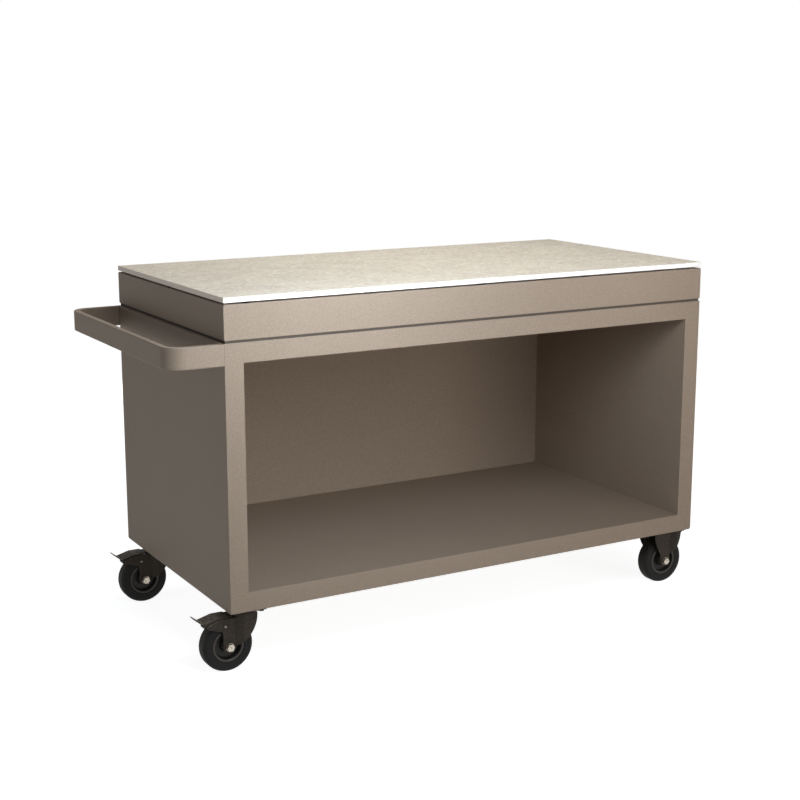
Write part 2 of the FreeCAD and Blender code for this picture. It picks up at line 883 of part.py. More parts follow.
def swivel_leg():
    """Front leg of a swivel fork: a sunk band with an arm that points back, a web and a rim."""
    x, z = axle_x, wheel_radius
    half = band_half_width
    band_x, rim_x, rim_end = x + half, x + swivel_rim_start, x + swivel_rim_end
    arm_x = x - arm_reach
    root, tip = crown_top - arm_root_drop, crown_top - arm_tip_drop
    corner_bend, nose_bend = arm_corner * arc_inset, arm_nose * arc_inset
    arm_middle = ((arm_x + x) / 2, (tip + arm_nose + crown_top) / 2 + arm_bulge)
    band_steps = [
        (band_x, z),
        ((x, z - half), (x - half, z)),
        (x - half, root - arm_corner),
        ((x - half - corner_bend, root - corner_bend), (x - half - arm_corner, root)),
        (arm_x + arm_nose, tip),
        ((arm_x + nose_bend, tip + nose_bend), (arm_x, tip + arm_nose)),
        (arm_middle, (x, crown_top)),
        (band_x, crown_top),
    ]
    band = soft_edges(side_plate(band_steps, -band_outer, -band_inner), -band_outer, band_x, crown_top)
    web = web_plate(band_x, rim_x, [(band_x, z), (rim_x, swivel_rim_foot), (rim_x, rim_top), (band_x, crown_top)])
    rim_middle = (rim_end - swivel_rim_bow, (swivel_rim_foot + rim_top) / 2)
    rim_steps = [(rim_x, swivel_rim_foot), (rim_middle, (rim_end, rim_top)), (rim_x, rim_top)]
    rim = soft_edges(side_plate(rim_steps, -rim_outer, -rim_inner), -rim_outer, rim_x, rim_top)
    return fused([band, web, rim])


def swivel_crown():
    """Bridge of a swivel fork over the wheel, under the lower race."""
    band_x, rim_x, rim_end = axle_x + band_half_width, axle_x + swivel_rim_start, axle_x + swivel_rim_end
    crown_x = axle_x - crown_back
    nose = race_pitch + race_half_width + crown_margin
    steps = [
        (crown_x, -band_outer),
        (band_x, -band_outer),
        (rim_x, -rim_outer),
        (rim_end - crown_trim, -rim_outer),
        ((nose, 0.0), (rim_end - crown_trim, rim_outer)),
        (rim_x, rim_outer),
        (band_x, band_outer),
        (crown_x, band_outer),
    ]
    return flat_plate(steps, crown_z, crown_top)


def swivel_fork():
    """Pressed fork with both legs, crown and lower race."""
    legs = mirrored_y(swivel_leg())
    ring = race_ring(crown_top, race_z - race_gap / 2)
    fork = fused(legs + [swivel_crown(), ring])
    cuts = [
        cross_hole(axle_x, wheel_radius, axle_radius + bolt_fit),
        cross_hole(pivot_x, pivot_z, pivot_radius + running_fit),
        disc(0, 0, crown_z - over, rim_top + over, kingpin_radius + running_fit),
    ]
    return fork.cut(cuts)


def cover_level(back):
    """Height of the cover's top on its falling part, at a distance behind the axle."""
    return cover_top - (back - pedal_bend) * cover_slope


def pedal_cover():
    """The pedal's top plate: level, then falling to a knee with three tread ribs, then up to the lip."""
    x = axle_x
    under, top = cover_top - cheek_sheet, cover_top
    steps = [
        (x + cover_reach, under),
        (x - pedal_bend, under),
        (x - pedal_knee, under - pedal_fall),
        (x - pedal_tip, under - pedal_fall + lip_rise),
        (x - pedal_tip, top - pedal_fall + lip_rise),
        (x - pedal_knee, top - pedal_fall),
        (x - pedal_bend, top),
        (x + cover_reach, top),
    ]
    cover = side_plate(steps, -pedal_half, pedal_half)
    tight = [(x - pedal_bend, under), (x - pedal_knee, top - pedal_fall)]
    wide = [(x - pedal_bend, top), (x - pedal_knee, under - pedal_fall)]
    cover = cover.makeFillet(pedal_bend_radius, long_edges(cover, "Y", tight))
    cover = cover.makeFillet(pedal_bend_radius + cheek_sheet, long_edges(cover, "Y", wide))
    ribs = []
    for back in along(rib_first, rib_last, 3):
        centre = cover_level(back) - rib_radius + rib_height
        ribs.append(barrel(x - back, centre, -rib_half_length, rib_half_length, rib_radius))
    keep = steps[:4] + [(x - pedal_tip, castor_height), (x + cover_reach, castor_height)]
    ribs = [rib.common(side_plate(keep, -pedal_half, pedal_half)) for rib in ribs]
    tip, start = x - pedal_tip, x - pedal_tip + pedal_corner
    inner = pedal_half - pedal_corner
    bend = pedal_corner * arc_inset
    blank = [
        (x + cover_reach, -pedal_half),
        (x + cover_reach, pedal_half),
        (start, pedal_half),
        ((tip + bend, pedal_half - bend), (tip, inner)),
        (tip, -inner),
        ((tip + bend, bend - pedal_half), (start, -pedal_half)),
    ]
    return fused([cover.common(flat_plate(blank, 0, castor_height + lip_rise))] + ribs)


def pedal_cheek():
    """One side of the pedal, from the cover down to the pivot."""
    x, turn = axle_x, 2 * pivot_radius
    under = cover_top - cheek_sheet / 2
    steps = [
        (x - cheek_front, under),
        (x - pedal_bend, under),
        (x - pedal_knee, under - pedal_fall),
        (x - shoe_back - cheek_margin, pivot_z + pivot_radius),
        (x - cheek_heel, pivot_z),
        (pivot_x - cheek_toe, pivot_z - turn),
        (pivot_x, pivot_z - turn),
        ((pivot_x + turn, pivot_z), (pivot_x, pivot_z + turn)),
        (x - cheek_front, pivot_z + turn),
    ]
    return side_plate(steps, -pedal_half, -pedal_half + cheek_sheet)


def brake_pedal():
    """Pressed pedal: a cover with a lip to tread on, two cheeks and pivot stubs."""
    stub = barrel(pivot_x, pivot_z, -band_outer - 2 * clear_fit, -pedal_half + cheek_sheet, pivot_radius)
    return fused([pedal_cover()] + mirrored_y(pedal_cheek()) + mirrored_y(stub))


def brake_shoe():
    """Rubber block under the pedal's cover, hollowed to the tyre."""
    half = shoe_width / 2
    low = pivot_z - shoe_drop
    steps = [
        (axle_x - shoe_front, cover_level(shoe_front) - cheek_sheet),
        (axle_x - shoe_back, cover_level(shoe_back) - cheek_sheet),
        (axle_x - shoe_back, low),
        (axle_x - shoe_front, low),
    ]
    block = side_plate(steps, -half, half)
    return block.cut(barrel(axle_x, wheel_radius, -half - over, half + over, wheel_radius + shoe_gap))


def detent_spring():
    """Leaf under the cover that bears on the crown's edge and holds the pedal up."""
    x = axle_x - crown_back
    half = spring_width / 2
    root, seat = axle_x - spring_root, cover_level(spring_root) - cheek_sheet
    heel = cover_level(spring_root - spring_foot) - cheek_sheet
    under = seat - spring_leaf
    low = under - spring_sag
    steps = [
        (root, seat),
        (root, under),
        (x - spring_toe, low),
        (x - clear_fit, low + spring_leaf),
        (x - clear_fit, low + 2 * spring_leaf),
        (x - spring_toe, low + spring_leaf),
        (root + spring_foot, heel),
    ]
    return side_plate(steps, -half, half)


def axle_sleeve():
    """Tube that the wheel turns on, clamped between the legs."""
    outer = barrel(0, wheel_radius, -band_inner, band_inner, sleeve_radius)
    return outer.cut(barrel(0, wheel_radius, -band_inner - over, band_inner + over, axle_radius + bolt_fit))


def axle_bolt():
    """Axle bolt with its head to the front, two washers and a nut, as separate solids."""
    nut_z = -2 * band_outer - 2 * washer - nut_share * axle_radius
    solids = [bolt(axle_radius, 0.0, nut_z - thread_end), nut(axle_radius, nut_z)]
    for z0 in (-washer, -2 * band_outer - 2 * washer):
        ring = disc(0, 0, z0, z0 + washer, washer_radius)
        solids.append(ring.cut(disc(0, 0, z0 - over, z0 + washer + over, axle_radius + bolt_fit)))
    upright = []
    for solid in solids:
        turned = solid.copy()
        turned.rotate(Vector(0, 0, 0), Vector(1, 0, 0), 90)
        upright.append(moved(turned, 0, -band_outer - washer, wheel_radius))
    return upright


def turned_about_axle(steps):
    """A ring from an outline in distance along the axle and radius."""
    face = outline(steps, lambda y, radius: Vector(0, y, wheel_radius + radius))
    return face.revolve(Vector(0, 0, wheel_radius), Vector(0, 1, 0), 360)


def tyre():
    """Solid tyre with a rounded shoulder and a flat crown."""
    half, crown = tyre_width / 2, tyre_crown_width / 2
    shoulder = wheel_radius - tyre_shoulder
    bulge = math.sqrt(0.5)
    middle_y = crown + (half - crown) * bulge
    middle_r = shoulder + tyre_shoulder * bulge
    steps = [
        (-half, core_radius),
        (-half, shoulder),
        ((-middle_y, middle_r), (-crown, wheel_radius)),
        (crown, wheel_radius),
        ((middle_y, middle_r), (half, shoulder)),
        (half, core_radius),
    ]
    return turned_about_axle(steps)


def wheel_core():
    """Moulded core: rim ring, dished web and hub."""
    ring = tyre_width / 2 - core_ring_inset
    lip = ring + core_ring_bulge
    web = core_web / 2
    hub = hub_width / 2
    side = [
        (hub, bush_radius),
        (hub, hub_radius),
        (web, hub_radius + core_draft),
        (web, core_ring_inner - core_fillet),
        (ring, core_ring_inner),
        (lip, core_ring_inner + core_chamfer),
        (lip, core_radius - core_chamfer),
        (ring, core_radius),
    ]
    mirror = [(-y, radius) for y, radius in reversed(side)]
    return turned_about_axle(side + mirror)


def wheel_bush():
    """Plain bearing that is pressed into the core and runs on the sleeve."""
    half = hub_width / 2
    bush = barrel(0, wheel_radius, -half, half, bush_radius)
    return bush.cut(barrel(0, wheel_radius, -half - over, half + over, sleeve_radius + running_fit))


def rigid_leg():
    """Front leg of a rigid fork: a sunk band between two webs and two rims."""
    half, z = band_half_width, wheel_radius
    foot = rigid_rim_foot
    band_steps = [(half, z), ((0, z - half), (-half, z)), (-half, plate_z), (half, plate_z)]
    pieces = [side_plate(band_steps, -band_outer, -band_inner)]
    for side in (-1, 1):
        band_x, rim_x, rim_end = side * half, side * rigid_rim_start, side * rigid_rim_end
        web_steps = [(band_x, foot - half), (rim_x, foot), (rim_x, plate_z), (band_x, plate_z)]
        pieces.append(web_plate(band_x, rim_x, web_steps))
        middle = (rim_end - side * rigid_rim_bow, (foot + plate_z) / 2)
        rim_steps = [(rim_x, foot), (middle, (rim_end, plate_z)), (rim_x, plate_z)]
        pieces.append(soft_edges(side_plate(rim_steps, -rim_outer, -rim_inner), -rim_outer, rim_x, plate_z))
    return fused(pieces)


def rigid_fork():
    """Rigid fork welded under its plate."""
    fork = fused(mirrored_y(rigid_leg()) + [castor_top_plate()])
    return fork.cut(cross_hole(0.0, wheel_radius, axle_radius + bolt_fit))


def placed(shapes, x, y):
    """A shape or a list of shapes, moved to a castor."""
    if isinstance(shapes, list):
        return [moved(shape, x, y) for shape in shapes]
    return moved(shapes, x, y)


def swivel_castor_parts(name, y):
    """All nodes of one swivel castor."""
    x = left_castor_x
    wheel_x = x - trail
    return {
        "swivel_plate_" + name: placed(swivel_plate(), x, y),
        "race_balls_" + name: placed(race_balls(), x, y),
        "swivel_fork_" + name: placed(swivel_fork(), x, y),
        "brake_pedal_" + name: placed(brake_pedal(), x, y),
        "brake_shoe_" + name: placed(brake_shoe(), x, y),
        "detent_spring_" + name: placed(detent_spring(), x, y),
        "axle_sleeve_" + name: placed(axle_sleeve(), wheel_x, y),
        "axle_bolt_" + name: placed(axle_bolt(), wheel_x, y),
        "wheel_core_" + name: placed(wheel_core(), wheel_x, y),
        "tyre_" + name: placed(tyre(), wheel_x, y),
        "wheel_bush_" + name: placed(wheel_bush(), wheel_x, y),
    }


def rigid_castor_parts(name, y):
    """The nodes of one rigid castor that are its own."""
    x = right_castor_x
    return {
        "rigid_fork_" + name: placed(rigid_fork(), x, y),
        "wheel_core_" + name: placed(wheel_core(), x, y),
        "tyre_" + name: placed(tyre(), x, y),
        "wheel_bush_" + name: placed(wheel_bush(), x, y),
    }


def shared_castor_parts():
    """Fasteners that more than one castor shares as a group."""
    kingpins, bolts, sleeves = [], [], []
    for y in (front_castor_y, back_castor_y):
        kingpins += placed(kingpin(), left_castor_x, y)
        bolts += placed(axle_bolt(), right_castor_x, y)
        sleeves.append(placed(axle_sleeve(), right_castor_x, y))
    return {
        "castor_bolts": castor_bolts(),
        "kingpins": kingpins,
        "rigid_axle_bolts": bolts,
        "rigid_axle_sleeves": sleeves,
    }


def all_parts():
    """Every node by name."""
    parts = {
        "front_frame": front_frame(),
        "left_side_skin": left_side_skin(),
        "right_side_skin": right_side_skin(),
        "left_liner": left_liner(),
        "right_liner": right_liner(),
        "storage_floor": storage_floor(),
        "storage_ceiling": storage_ceiling(),
        "underside_panel": underside_panel(),
        "cabinet_top_panel": cabinet_top_panel(),
        "back_panel": back_panel(),
        "back_screws": back_screws(),
        "castor_rails": castor_rails(),
        "floor_cross_rails": floor_cross_rails(),
        "tube_frame": tube_frame(),
        "upper_front_rail": upper_front_rail(),
        "upper_back_rail": upper_back_rail(),
        "upper_left_rail": upper_left_rail(),
        "upper_right_rail": upper_right_rail(),
        "shadow_gap_strips": shadow_gap_strips(),
        "upper_box_bolts": upper_box_bolts(),
        "worktop_supports": worktop_supports(),
        "slab_pads": slab_pads(),
        "worktop_slab": worktop_slab(),
        "handle_bar": handle_bar(),
        "handle_wall_bar": handle_wall_bar(),
        "handle_bolts": handle_bolts(),
    }
    parts.update(shared_castor_parts())
    parts.update(swivel_castor_parts("front_left", front_castor_y))
    parts.update(swivel_castor_parts("back_left", back_castor_y))
    parts.update(rigid_castor_parts("front_right", front_castor_y))
    parts.update(rigid_castor_parts("back_right", back_castor_y))
    return parts


def main():
    """Write one STEP file per node."""
    os.makedirs("parts", exist_ok=True)
    for name, shape in all_parts().items():
        if isinstance(shape, list):
            shape = Part.makeCompound(shape)
        shape.exportStep("parts/" + name + ".step")
        print(name, len(shape.Solids), shape.isValid(), round(shape.Volume))


main()
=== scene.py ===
"""A grill cart with open storage: powder-coated cabinet, stone worktop, push handle and four castors.

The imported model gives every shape. This script gives the parts their finishes, and adds two pairs of
rivet heads, the floor, the lamps and the camera.
"""
import json
import math

import bmesh
import bpy
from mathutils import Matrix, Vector


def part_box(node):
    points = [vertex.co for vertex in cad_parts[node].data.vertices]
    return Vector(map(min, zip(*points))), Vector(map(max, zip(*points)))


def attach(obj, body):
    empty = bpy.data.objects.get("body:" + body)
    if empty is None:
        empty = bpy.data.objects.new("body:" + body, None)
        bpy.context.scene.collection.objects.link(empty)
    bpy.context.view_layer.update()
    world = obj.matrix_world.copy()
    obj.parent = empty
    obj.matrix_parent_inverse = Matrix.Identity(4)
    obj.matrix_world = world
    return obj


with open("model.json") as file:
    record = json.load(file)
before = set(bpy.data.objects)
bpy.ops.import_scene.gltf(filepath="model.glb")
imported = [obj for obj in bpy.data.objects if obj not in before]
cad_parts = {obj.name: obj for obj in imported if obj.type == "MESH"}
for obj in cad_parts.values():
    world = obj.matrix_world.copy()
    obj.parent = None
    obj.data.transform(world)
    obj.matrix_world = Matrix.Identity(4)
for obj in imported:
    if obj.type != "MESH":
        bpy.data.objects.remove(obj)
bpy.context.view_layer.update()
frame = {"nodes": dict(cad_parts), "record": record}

cad = frame["nodes"]

# The swivel castors, which are at the handle end.
SWIVEL_CORNERS = ("front_left", "back_left")

# All lengths are in metres, apart from the sizes of grain.
# A tyre's radius, which is also the height of its axle, and the radius of the nylon core inside it.
WHEEL_RADIUS = 0.0625
CORE_RADIUS = 0.040

# Between these two distances from the axle the tyre's wall turns into tread.
WALL_END = WHEEL_RADIUS - 0.0025
TREAD_START = WHEEL_RADIUS - 0.0005

# The raised rings on a tyre's wall: half their spacing, and the width of their sloping flanks.
RING_HALF_SPACING = 0.003
RING_FLANK = 0.0009

# Between these two distances from the axle the core's web turns into its glossier outer ring, which is
# painted paler as a highlight.
WEB_END = CORE_RADIUS - 0.008
CORE_RING_START = CORE_RADIUS - 0.006

# The pivot of a brake pedal: how far it lies behind the wheel's axle, and its height above the floor.
PIVOT_BACK = 0.0097
PIVOT_HEIGHT = 0.1143

# An upset rivet head: the radius and height of each ring from the fork outwards, the height of its top
# and the number of its sides.
RIVET_RINGS = ((0.0035, 0.0), (0.0035, 0.0004), (0.0032, 0.0010), (0.0024, 0.0015), (0.0013, 0.0018))
RIVET_HEIGHT = 0.0019
RIVET_SIDES = 24

# The camera, solved from the corners of the cabinet: its place, its turn to the right of straight
# ahead, its tilt below level, and its lens on a 36 mm film.
CAMERA_PLACE = (-1.8741, -3.3105, 1.3332)
CAMERA_TURN = math.radians(29.82)
CAMERA_TILT = math.radians(11.96)
LENS_MM = 66.94
FILM_MM = 36.0

# The strength of the even room light, beside the soft boxes.
ROOM_LIGHT = 0.022

# The floor's half width, the distances from the cart's middle at which its glow starts to grow and is
# white, and how strong the glow is at each.
FLOOR_HALF_WIDTH = 12.0
SHADOW_FLOOR = 0.9
WHITE_FLOOR = 1.7
SHADOW_GLOW = 0.9
WHITE_GLOW = 1.0

# The sockets of a mix node that mixes colours.
MIX_FACTOR, MIX_UNDER, MIX_OVER, MIX_RESULT = 0, 6, 7, 2


def linear(colour):
    """An sRGB hex colour as the linear colour that a socket takes."""
    parts = [int(colour[i:i + 2], 16) / 255 for i in (1, 3, 5)]
    return tuple(p / 12.92 if p <= 0.04045 else ((p + 0.055) / 1.055) ** 2.4 for p in parts) + (1.0,)


def add(tree, kind, settings=None, links=None):
    """Adds a node. Settings name its properties or sockets; links name the sources of its inputs."""
    node = tree.nodes.new(kind)
    for name, value in (settings or {}).items():
        if isinstance(name, int) or name in node.inputs:
            node.inputs[name].default_value = value
        else:
            setattr(node, name, value)
    for name, (source, output) in (links or {}).items():
        tree.links.new(source.outputs[output], node.inputs[name])
    return node


def new_material(name):
    """An empty material, its tree, and the node of the object's own coordinates and normal."""
    material = bpy.data.materials.new(name)
    material.use_nodes = True
    tree = material.node_tree
    tree.nodes.clear()
    return material, tree, add(tree, "ShaderNodeTexCoord")


def grain(tree, place, size_mm, detail=2.0, roughness=0.5):
    """Noise whose lumps are about this many millimetres wide."""
    settings = {"Scale": 1000.0 / size_mm, "Detail": detail, "Roughness": roughness}
    return add(tree, "ShaderNodeTexNoise", settings, {"Vector": (place, "Object")}), "Fac"


def two_tones(tree, mask, dark, light, low=0.0, high=1.0):
    """A colour that goes from dark to light as the mask goes from low to high."""
    ramp = add(tree, "ShaderNodeValToRGB", links={"Fac": mask})
    ramp.color_ramp.elements[0].position = low
    ramp.color_ramp.elements[0].color = linear(dark)
    ramp.color_ramp.elements[1].position = high
    ramp.color_ramp.elements[1].color = linear(light)
    return ramp, "Color"


def spread(tree, mask, low, high, start=0.0, end=1.0):
    """A number that goes from low to high as the mask goes from start to end."""
    settings = {"From Min": start, "From Max": end, "To Min": low, "To Max": high}
    return add(tree, "ShaderNodeMapRange", settings, {"Value": mask}), "Result"


def laid_over(tree, mask, under, colour):
    """A colour with a plain second colour laid over it where the mask is 1."""
    mix = add(tree, "ShaderNodeMix", {"data_type": "RGBA"}, {MIX_FACTOR: mask, MIX_UNDER: under})
    mix.inputs[MIX_OVER].default_value = linear(colour)
    return mix, MIX_RESULT


def facing(tree, place, axis, sign=1.0):
    """How much a face points along an axis of the object: 1 towards it, 0 across it or away from it."""
    parts = add(tree, "ShaderNodeSeparateXYZ", links={"Vector": (place, "Normal")})
    turned = add(tree, "ShaderNodeMath", {"operation": "MULTIPLY", 1: sign}, {0: (parts, axis)})
    return add(tree, "ShaderNodeMath", {"operation": "MAXIMUM", 1: 0.0}, {0: (turned, "Value")}), "Value"


def times(tree, one, other):
    """The product of two numbers."""
    return add(tree, "ShaderNodeMath", {"operation": "MULTIPLY"}, {0: one, 1: other}), "Value"


def finished(material, tree, settings, links, height=None, depth_mm=0.1, strength=0.3):
    """Joins the principled shader to the material, over a bump of this depth where a height is given."""
    if height:
        relief = {"Strength": strength, "Distance": depth_mm / 1000.0}
        links = dict(links, Normal=(add(tree, "ShaderNodeBump", relief, {"Height": height}), "Normal"))
    shader = add(tree, "ShaderNodeBsdfPrincipled", settings, links)
    add(tree, "ShaderNodeOutputMaterial", links={"Surface": (shader, "BSDF")})
    return material


def powder_coat():
    """Polyester powder coat baked on folded steel: a matt taupe film with a fine grain like sand.

    The real grain is 0.4 mm and too fine to show, so it is drawn 2.4 mm wide. Its tone drifts slowly,
    over 140 mm.
    """
    material, tree, place = new_material("taupe_powder_coat")
    sand = grain(tree, place, 2.4, roughness=0.6)
    drift = spread(tree, grain(tree, place, 140.0), 0.97, 1.03)
    tone = two_tones(tree, sand, "#8b7b6c", "#9c8976", 0.32, 0.68)
    body = add(tree, "ShaderNodeVectorMath", {"operation": "SCALE"}, {0: tone, "Scale": drift})
    gloss = spread(tree, sand, 0.52, 0.64)
    links = {"Base Color": (body, "Vector"), "Roughness": gloss}
    return finished(material, tree, {"IOR": 1.26}, links, grain(tree, place, 1.1), 0.12, 0.35)


def sintered_stone():
    """Sintered stone, pressed, printed and honed: matt beige with clouds, mottling and pale flecks.

    The clouds are 70 mm wide. The real mottling of 5 mm is too fine to show at this slant, so it is
    drawn 13 to 16 mm wide. The ground edges are painted near white: the paler body, and partly a painted
    highlight. The left end is painted warmer and paler still, as painted light on it.
    """
    material, tree, place = new_material("beige_sintered_stone")
    clouds = two_tones(tree, grain(tree, place, 70.0, 6.0, 0.66), "#c9bca7", "#dbcfb9", 0.36, 0.62)
    fleck = spread(tree, grain(tree, place, 13.0, 4.0, 0.75), 0.0, 1.0, 0.53, 0.63)
    stain = spread(tree, grain(tree, place, 16.0, 4.0, 0.7), 0.0, 0.65, 0.52, 0.64)
    flecked = laid_over(tree, fleck, clouds, "#ebe4d5")
    mottled = laid_over(tree, stain, flecked, "#b3a590")
    # Faces that don't look up are painted near white: the stone's paler body, and partly a painted
    # highlight.
    pale_body_and_highlight_edge = spread(tree, facing(tree, place, "Z"), 1.0, 0.0, 0.3, 0.7)
    edged = laid_over(tree, pale_body_and_highlight_edge, mottled, "#faf5ee")
    # Faces that look to the left are painted warmer and paler: painted light on the slab's left end.
    painted_lit_left_end = spread(tree, facing(tree, place, "X", -1.0), 0.0, 1.0, 0.3, 0.7)
    body = laid_over(tree, painted_lit_left_end, edged, "#fbe8d6")
    gloss = spread(tree, grain(tree, place, 16.0, 4.0, 0.65), 0.48, 0.62)
    links = {"Base Color": body, "Roughness": gloss}
    return finished(material, tree, {"IOR": 1.48}, links, grain(tree, place, 1.5), 0.08, 0.25)


def dark_powder_coat():
    """Dark bronze powder coat on the set-back strips: dead matt, with the faces that look to the front
    painted paler as painted light, where the front lamps reach into the gap.

    Its grain is that of the taupe coat, drawn 2 mm wide.
    """
    material, tree, place = new_material("dark_bronze_powder_coat")
    tone = two_tones(tree, grain(tree, place, 2.0), "#2f2822", "#413931", 0.35, 0.65)
    # Faces that look to the front are painted paler: painted light on the side the lamps face.
    links = {"Base Color": laid_over(tree, facing(tree, place, "Y", -1.0), tone, "#51483f")}
    return finished(material, tree, {"IOR": 1.3, "Roughness": 0.7}, links, grain(tree, place, 1.2))


def galvanised_steel():
    """Hot-dip galvanised sheet: zinc crystals 9 mm wide, each its own grey, under a dull bloom."""
    crystals_per_metre = 110.0
    material, tree, place = new_material("galvanised_steel")
    source = {"Vector": (place, "Object")}
    crystals = add(tree, "ShaderNodeTexVoronoi", {"Scale": crystals_per_metre}, source)
    shade = add(tree, "ShaderNodeSeparateXYZ", links={"Vector": (crystals, "Color")})
    tone = two_tones(tree, (shade, "X"), "#8d9092", "#b2b5b5")
    dull = spread(tree, grain(tree, place, 30.0, 4.0), 0.0, 0.6, 0.45, 0.7)
    gloss = spread(tree, (shade, "X"), 0.36, 0.55)
    links = {"Base Color": laid_over(tree, dull, tone, "#9c9d9b"), "Roughness": gloss}
    return finished(material, tree, {"Metallic": 1.0}, links, (crystals, "Distance"), 0.05, 0.2)


def zinc_plating(name, dark, light):
    """Electroplated zinc on turned and rolled steel: bright and a little uneven, with fine tool marks."""
    material, tree, place = new_material(name)
    tone = two_tones(tree, grain(tree, place, 5.0, 4.0), dark, light, 0.35, 0.65)
    links = {"Base Color": tone, "Roughness": spread(tree, grain(tree, place, 1.0), 0.26, 0.42)}
    return finished(material, tree, {"Metallic": 1.0}, links, grain(tree, place, 0.8), 0.03, 0.2)


def axle_zinc():
    """Zinc-plated axle bolt: the faces that look along the axle are painted bright as a highlight, and
    the flanks and washer painted dark as shade, with dirty mottling over all.
    """
    material, tree, place = new_material("zinc_plated_axle_bolt")
    parts = add(tree, "ShaderNodeSeparateXYZ", links={"Vector": (place, "Normal")})
    across = add(tree, "ShaderNodeMath", {"operation": "ABSOLUTE"}, {0: (parts, "Y")})
    # Faces that look along the axle are painted bright as a painted highlight; the flanks are painted
    # dark as painted shade.
    highlit_end_face = spread(tree, (across, "Value"), 0.0, 1.0, 0.55, 0.9)
    tone = two_tones(tree, highlit_end_face, "#4b4640", "#b9b0a3")
    dirt = spread(tree, grain(tree, place, 4.5, 3.0), 0.0, 0.75, 0.5, 0.6)
    mottle = laid_over(tree, dirt, tone, "#746b60")
    links = {"Base Color": mottle, "Roughness": spread(tree, highlit_end_face, 0.55, 0.30)}
    return finished(material, tree, {"Metallic": 1.0}, links, grain(tree, place, 1.0), 0.04, 0.25)


def black_castor_paint():
    """Dipped black paint on pressed steel: half matt and a little brown, with upper faces painted paler,
    partly dust and partly a painted highlight along the top edges of forks and pedals.
    """
    material, tree, place = new_material("black_castor_paint")
    skin = two_tones(tree, grain(tree, place, 4.0, 3.0), "#2e2822", "#3f372e", 0.35, 0.65)
    # Upward faces are painted paler: partly dust, partly a painted highlight on the top edges of the fork
    # arms.
    upward = spread(tree, facing(tree, place, "Z"), 0.0, 1.0, 0.25, 0.85)
    patches = spread(tree, grain(tree, place, 7.0, 4.0, 0.6), 0.2, 0.9, 0.38, 0.62)
    dust_and_painted_highlight = times(tree, upward, patches)
    gloss = spread(tree, dust_and_painted_highlight, 0.46, 0.75)
    links = {"Base Color": laid_over(tree, dust_and_painted_highlight, skin, "#8a7e70"), "Roughness": gloss}
    return finished(material, tree, {"IOR": 1.22}, links, grain(tree, place, 1.6), 0.08, 0.3)


def bearing_steel():
    """Hardened and lapped balls: mirror bright under a thin film of grease."""
    material, tree, place = new_material("polished_bearing_steel")
    tone = two_tones(tree, grain(tree, place, 3.0, 3.0), "#a8a7a2", "#cccbc6", 0.35, 0.65)
    links = {"Base Color": tone, "Roughness": spread(tree, grain(tree, place, 2.0), 0.12, 0.24)}
    return finished(material, tree, {"Metallic": 1.0}, links)


def from_axle(tree, place, axle_x):
    """The distance from a wheel's axle."""
    parts = add(tree, "ShaderNodeSeparateXYZ", links={"Vector": (place, "Object")})
    flat = add(tree, "ShaderNodeCombineXYZ", links={"X": (parts, "X"), "Y": (parts, "Z")})
    settings = {"operation": "DISTANCE", 1: (axle_x, WHEEL_RADIUS, 0.0)}
    return add(tree, "ShaderNodeVectorMath", settings, {0: (flat, "Vector")}), "Value"


def moulded_rubber(name, axle_x):
    """Solid black rubber tyre: moulded matt walls with fine raised rings, and a tread grey with dust."""
    material, tree, place = new_material(name)
    radius = from_axle(tree, place, axle_x)
    wall = two_tones(tree, grain(tree, place, 3.0, 3.0), "#100f0e", "#191715", 0.35, 0.65)
    tread = spread(tree, radius, 0.0, 1.0, WALL_END, TREAD_START)
    patches = spread(tree, grain(tree, place, 9.0, 4.0, 0.6), 0.1, 0.8, 0.35, 0.65)
    worn = times(tree, tread, patches)
    ring = add(tree, "ShaderNodeMath", {"operation": "PINGPONG", 1: RING_HALF_SPACING}, {0: radius})
    gloss = spread(tree, worn, 0.62, 0.85)
    links = {"Base Color": laid_over(tree, worn, wall, "#3a3631"), "Roughness": gloss}
    height = spread(tree, (ring, "Value"), 0.0, 1.0, 0.0, RING_FLANK)
    return finished(material, tree, {"IOR": 1.25}, links, height, 0.25, 0.35)


def moulded_nylon(name, axle_x):
    """Glass-filled black nylon core, injection moulded: a glossier outer ring painted paler as a
    highlight, and faint flow marks.
    """
    material, tree, place = new_material(name)
    radius = from_axle(tree, place, axle_x)
    ring = spread(tree, radius, 0.0, 1.0, WEB_END, CORE_RING_START)
    # The outer ring is painted paler than the web: a painted highlight.
    tone = two_tones(tree, ring, "#161310", "#2f2922")
    marks = spread(tree, grain(tree, place, 6.0, 3.0), 0.0, 0.5, 0.5, 0.7)
    flow = laid_over(tree, marks, tone, "#2a2520")
    links = {"Base Color": flow, "Roughness": spread(tree, ring, 0.6, 0.38)}
    return finished(material, tree, {"IOR": 1.4}, links, grain(tree, place, 1.6), 0.06, 0.3)


def acetal():
    """Turned acetal bush: grey-black and waxy, with the sheen of a self-oiling plastic."""
    material, tree, place = new_material("turned_acetal")
    tone = two_tones(tree, grain(tree, place, 2.5, 3.0), "#2a2826", "#393633", 0.35, 0.65)
    links = {"Base Color": tone}
    return finished(material, tree, {"IOR": 1.48, "Roughness": 0.35}, links, grain(tree, place, 1.0))


def soft_rubber():
    """Cut rubber of the slab pads and brake shoes: dead black, with an open grain that takes dust."""
    material, tree, place = new_material("cut_black_rubber")
    tone = two_tones(tree, grain(tree, place, 2.5, 4.0, 0.7), "#131211", "#24221f", 0.35, 0.7)
    links = {"Base Color": tone}
    return finished(material, tree, {"IOR": 1.3, "Roughness": 0.85}, links, grain(tree, place, 1.5))


LEFT_AXLE_X = sum(corner[0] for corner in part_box("tyre_front_left")) / 2
RIGHT_AXLE_X = sum(corner[0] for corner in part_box("tyre_front_right")) / 2

